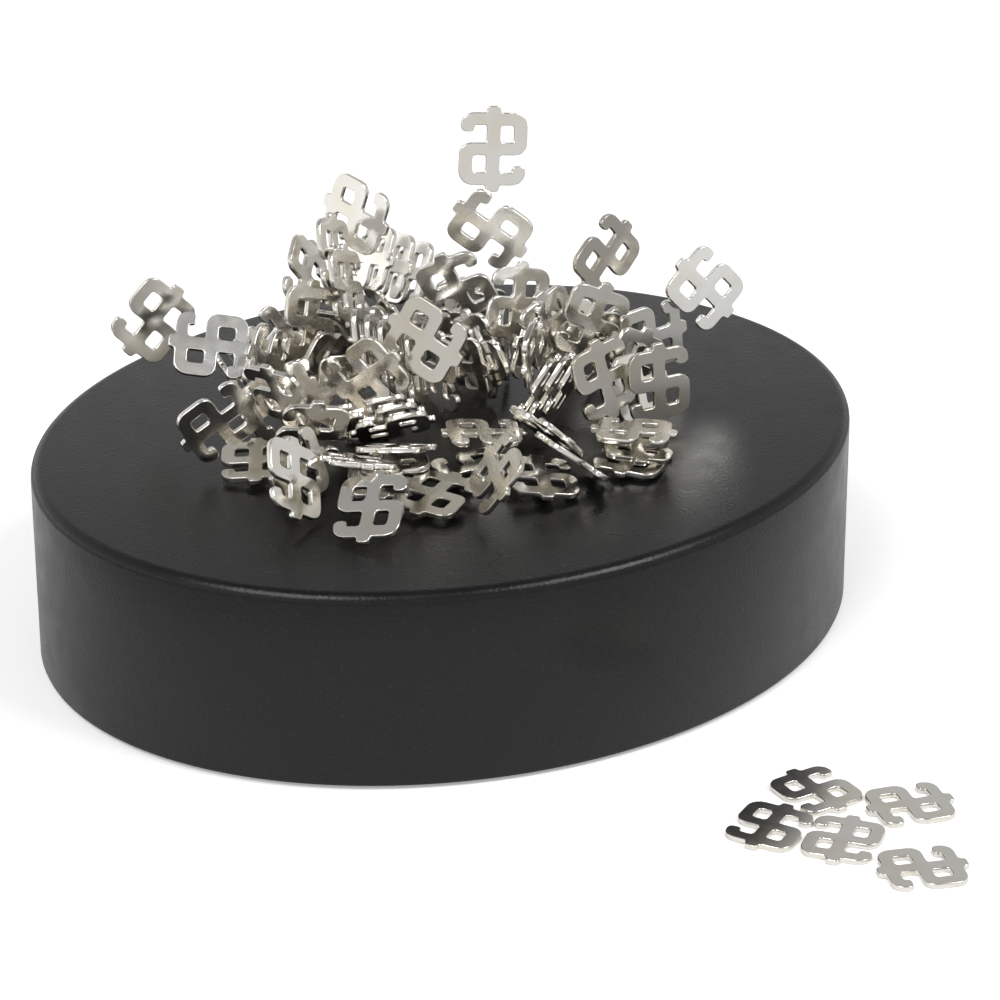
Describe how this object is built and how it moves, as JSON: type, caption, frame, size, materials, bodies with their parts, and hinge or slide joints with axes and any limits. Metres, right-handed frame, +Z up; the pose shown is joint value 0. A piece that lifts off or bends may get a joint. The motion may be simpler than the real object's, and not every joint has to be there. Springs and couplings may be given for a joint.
{
  "type": "magnetic desk sculpture",
  "caption": "Black oval magnetic base that holds a crown of loose stamped dollar signs on top, with a few more lying in front of it; each sign lifts off.",
  "frame": {"origin": "middle of the foot pad's underside, on the desk below the centre of the oval base", "axes": "+Z up, +X along the oval, -Y towards the signs that lie on the desk"},
  "size_m": [0.108, 0.1355, 0.0648],
  "materials": {
    "lacquer": "black satin lacquer with a fine speckled grain",
    "nickel": "tumbled nickel plate on stamped steel",
    "ferrite": "sintered, matt dark grey",
    "zinc": "zinc plated",
    "foam": "soft closed-cell foam",
    "fibre": "matt black fibreboard",
    "felt": "black felt"
  },
  "bodies": {
    "base": {"base_body": "lacquer", "disc_magnet": "ferrite", "steel_yoke": "zinc", "foam_spacer": "foam", "pocket_cover": "fibre", "foot_pad": "felt"},
    "spire_top": {"spire_top": "nickel"},
    "spire_middle": {"spire_middle": "nickel"},
    "spire_foot": {"spire_foot": "nickel"},
    "spire_lean": {"spire_lean": "nickel"},
    "right_tall": {"right_tall": "nickel"},
    "right_far": {"right_far": "nickel"},
    "right_high": {"right_high": "nickel"},
    "right_pair_outer": {"right_pair_outer": "nickel"},
    "right_pair_inner": {"right_pair_inner": "nickel"},
    "right_inner": {"right_inner": "nickel"},
    "right_low": {"right_low": "nickel"},
    "flat_far": {"flat_far": "nickel"},
    "flat_middle": {"flat_middle": "nickel"},
    "flat_near": {"flat_near": "nickel"},
    "front_lean": {"front_lean": "nickel"},
    "front_edge": {"front_edge": "nickel"},
    "left_far": {"left_far": "nickel"},
    "left_wing": {"left_wing": "nickel"},
    "left_back": {"left_back": "nickel"},
    "left_fore": {"left_fore": "nickel"},
    "left_low": {"left_low": "nickel"},
    "left_inner": {"left_inner": "nickel"},
    "left_middle": {"left_middle": "nickel"},
    "left_centre": {"left_centre": "nickel"},
    "back_tall": {"back_tall": "nickel"},
    "middle_thick": {"middle_thick": "nickel"},
    "loose_1": {"loose_1": "nickel"},
    "loose_2": {"loose_2": "nickel"},
    "loose_3": {"loose_3": "nickel"},
    "loose_4": {"loose_4": "nickel"},
    "loose_5": {"loose_5": "nickel"},
    "back_dome": {"back_dome": "nickel"},
    "front_spear": {"front_spear": "nickel"},
    "fan_1": {"fan_1": "nickel"},
    "fan_2": {"fan_2": "nickel"},
    "fan_3": {"fan_3": "nickel"},
    "deck_1": {"deck_1": "nickel"},
    "deck_2": {"deck_2": "nickel"},
    "deck_3": {"deck_3": "nickel"},
    "comb_1": {"comb_1": "nickel"},
    "comb_2": {"comb_2": "nickel"},
    "comb_3": {"comb_3": "nickel"},
    "comb_4": {"comb_4": "nickel"},
    "comb_5": {"comb_5": "nickel"},
    "crown_1": {"crown_1": "nickel"},
    "crown_2": {"crown_2": "nickel"},
    "crown_3": {"crown_3": "nickel"},
    "ridge_1": {"ridge_1": "nickel"},
    "ridge_2": {"ridge_2": "nickel"},
    "shell_1": {"shell_1": "nickel"},
    "shell_2": {"shell_2": "nickel"}
  },
  "joints": [
    {"name": "lift_spire_top", "type": "slide", "parent": "base", "child": "spire_top", "axis": [0.183, 0.183, 0.9659], "range_m": [0, 0.012]},
    {"name": "lift_spire_middle", "type": "slide", "parent": "base", "child": "spire_middle", "axis": [0.1294, -0.2241, 0.9659], "range_m": [0, 0.012]},
    {"name": "lift_spire_foot", "type": "slide", "parent": "base", "child": "spire_foot", "axis": [0.6124, 0.3536, 0.7071], "range_m": [0, 0.012]},
    {"name": "lift_spire_lean", "type": "slide", "parent": "base", "child": "spire_lean", "axis": [0.25, 0.433, 0.866], "range_m": [0, 0.012]},
    {"name": "lift_right_tall", "type": "slide", "parent": "base", "child": "right_tall", "axis": [0.683, 0.183, 0.7071], "range_m": [0, 0.012]},
    {"name": "lift_right_far", "type": "slide", "parent": "base", "child": "right_far", "axis": [0.866, 0, 0.5], "range_m": [0, 0.012]},
    {"name": "lift_right_high", "type": "slide", "parent": "base", "child": "right_high", "axis": [0.8365, 0.2241, 0.5], "range_m": [0, 0.012]},
    {"name": "lift_right_pair_outer", "type": "slide", "parent": "fan_3", "child": "right_pair_outer", "axis": [0.75, -0.433, 0.5], "range_m": [0, 0.012]},
    {"name": "lift_right_pair_inner", "type": "slide", "parent": "fan_3", "child": "right_pair_inner", "axis": [0.683, 0.183, 0.7071], "range_m": [0, 0.012]},
    {"name": "lift_right_inner", "type": "slide", "parent": "base", "child": "right_inner", "axis": [0.683, -0.183, 0.7071], "range_m": [0, 0.012]},
    {"name": "lift_right_low", "type": "slide", "parent": "base", "child": "right_low", "axis": [0.6124, -0.6124, 0.5], "range_m": [0, 0.012]},
    {"name": "lift_flat_far", "type": "slide", "parent": "flat_middle", "child": "flat_far", "axis": [-0.1294, -0.483, 0.866], "range_m": [0, 0.012]},
    {"name": "lift_flat_middle", "type": "slide", "parent": "base", "child": "flat_middle", "axis": [0, -0.5, 0.866], "range_m": [0, 0.012]},
    {"name": "lift_flat_near", "type": "slide", "parent": "flat_middle", "child": "flat_near", "axis": [0, -0.866, 0.5], "range_m": [0, 0.012]},
    {"name": "lift_front_lean", "type": "slide", "parent": "flat_near", "child": "front_lean", "axis": [-0.2241, -0.8365, 0.5], "range_m": [0, 0.012]},
    {"name": "lift_front_edge", "type": "slide", "parent": "base", "child": "front_edge", "axis": [-0.75, -0.433, 0.5], "range_m": [0, 0.012]},
    {"name": "lift_left_far", "type": "slide", "parent": "base", "child": "left_far", "axis": [-0.6124, 0.6124, 0.5], "range_m": [0, 0.012]},
    {"name": "lift_left_wing", "type": "slide", "parent": "base", "child": "left_wing", "axis": [-0.75, 0.433, 0.5], "range_m": [0, 0.012]},
    {"name": "lift_left_back", "type": "slide", "parent": "base", "child": "left_back", "axis": [-0.5, 0.5, 0.7071], "range_m": [0, 0.012]},
    {"name": "lift_left_fore", "type": "slide", "parent": "left_low", "child": "left_fore", "axis": [-0.8365, 0.2241, 0.5], "range_m": [0, 0.012]},
    {"name": "lift_left_low", "type": "slide", "parent": "base", "child": "left_low", "axis": [-0.9077, -0.2432, 0.342], "range_m": [0, 0.012]},
    {"name": "lift_left_inner", "type": "slide", "parent": "base", "child": "left_inner", "axis": [-0.8365, -0.2241, 0.5], "range_m": [0, 0.012]},
    {"name": "lift_left_middle", "type": "slide", "parent": "base", "child": "left_middle", "axis": [-0.8365, 0.2241, 0.5], "range_m": [0, 0.012]},
    {"name": "lift_left_centre", "type": "slide", "parent": "base", "child": "left_centre", "axis": [-0.8365, 0.2241, 0.5], "range_m": [0, 0.012]},
    {"name": "lift_back_tall", "type": "slide", "parent": "base", "child": "back_tall", "axis": [0, 0.7071, 0.7071], "range_m": [0, 0.012]},
    {"name": "lift_middle_thick", "type": "slide", "parent": "base", "child": "middle_thick", "axis": [-0.2241, 0.1294, 0.9659], "range_m": [0, 0.012]},
    {"name": "lift_loose_1", "type": "slide", "parent": "base", "child": "loose_1", "axis": [0.1294, -0.483, 0.866], "range_m": [0, 0.012]},
    {"name": "lift_loose_2", "type": "slide", "parent": "base", "child": "loose_2", "axis": [0.2241, -0.8365, 0.5], "range_m": [0, 0.012]},
    {"name": "lift_loose_3", "type": "slide", "parent": "base", "child": "loose_3", "axis": [-0.5, -0.5, 0.7071], "range_m": [0, 0.012]},
    {"name": "lift_loose_4", "type": "slide", "parent": "base", "child": "loose_4", "axis": [0, -0.866, 0.5], "range_m": [0, 0.012]},
    {"name": "lift_loose_5", "type": "slide", "parent": "base", "child": "loose_5", "axis": [0.2241, -0.8365, 0.5], "range_m": [0, 0.012]},
    {"name": "lift_back_dome", "type": "slide", "parent": "base", "child": "back_dome", "axis": [-0.6124, 0.3536, 0.7071], "range_m": [0, 0.012]},
    {"name": "lift_front_spear", "type": "slide", "parent": "base", "child": "front_spear", "axis": [0.2241, -0.8365, 0.5], "range_m": [0, 0.012]},
    {"name": "lift_fan_1", "type": "slide", "parent": "base", "child": "fan_1", "axis": [0.483, -0.1294, 0.866], "range_m": [0, 0.012]},
    {"name": "lift_fan_2", "type": "slide", "parent": "base", "child": "fan_2", "axis": [0.483, -0.1294, 0.866], "range_m": [0, 0.012]},
    {"name": "lift_fan_3", "type": "slide", "parent": "base", "child": "fan_3", "axis": [0.683, -0.183, 0.7071], "range_m": [0, 0.012]},
    {"name": "lift_deck_1", "type": "slide", "parent": "base", "child": "deck_1", "axis": [-0.683, 0.183, 0.7071], "range_m": [0, 0.012]},
    {"name": "lift_deck_2", "type": "slide", "parent": "base", "child": "deck_2", "axis": [0.433, -0.75, 0.5], "range_m": [0, 0.012]},
    {"name": "lift_deck_3", "type": "slide", "parent": "base", "child": "deck_3", "axis": [-0.433, -0.75, 0.5], "range_m": [0, 0.012]},
    {"name": "lift_comb_1", "type": "slide", "parent": "base", "child": "comb_1", "axis": [-0.1294, 0.2241, 0.9659], "range_m": [0, 0.012]},
    {"name": "lift_comb_2", "type": "slide", "parent": "base", "child": "comb_2", "axis": [-0.1294, 0.2241, 0.9659], "range_m": [0, 0.012]},
    {"name": "lift_comb_3", "type": "slide", "parent": "base", "child": "comb_3", "axis": [-0.1294, 0.2241, 0.9659], "range_m": [0, 0.012]},
    {"name": "lift_comb_4", "type": "slide", "parent": "base", "child": "comb_4", "axis": [0.1294, 0.483, 0.866], "range_m": [0, 0.012]},
    {"name": "lift_comb_5", "type": "slide", "parent": "base", "child": "comb_5", "axis": [0.1294, 0.483, 0.866], "range_m": [0, 0.012]},
    {"name": "lift_crown_1", "type": "slide", "parent": "base", "child": "crown_1", "axis": [0.183, 0.683, 0.7071], "range_m": [0, 0.012]},
    {"name": "lift_crown_2", "type": "slide", "parent": "base", "child": "crown_2", "axis": [0.183, 0.683, 0.7071], "range_m": [0, 0.012]},
    {"name": "lift_crown_3", "type": "slide", "parent": "base", "child": "crown_3", "axis": [0.2241, 0.8365, 0.5], "range_m": [0, 0.012]},
    {"name": "lift_ridge_1", "type": "slide", "parent": "base", "child": "ridge_1", "axis": [0.1294, 0.483, 0.866], "range_m": [0, 0.012]},
    {"name": "lift_ridge_2", "type": "slide", "parent": "base", "child": "ridge_2", "axis": [-0.067, 0.25, 0.9659], "range_m": [0, 0.012]},
    {"name": "lift_shell_1", "type": "slide", "parent": "base", "child": "shell_1", "axis": [0.6124, 0.3536, 0.7071], "range_m": [0, 0.012]},
    {"name": "lift_shell_2", "type": "slide", "parent": "base", "child": "shell_2", "axis": [0.683, 0.183, 0.7071], "range_m": [0, 0.012]}
  ]
}
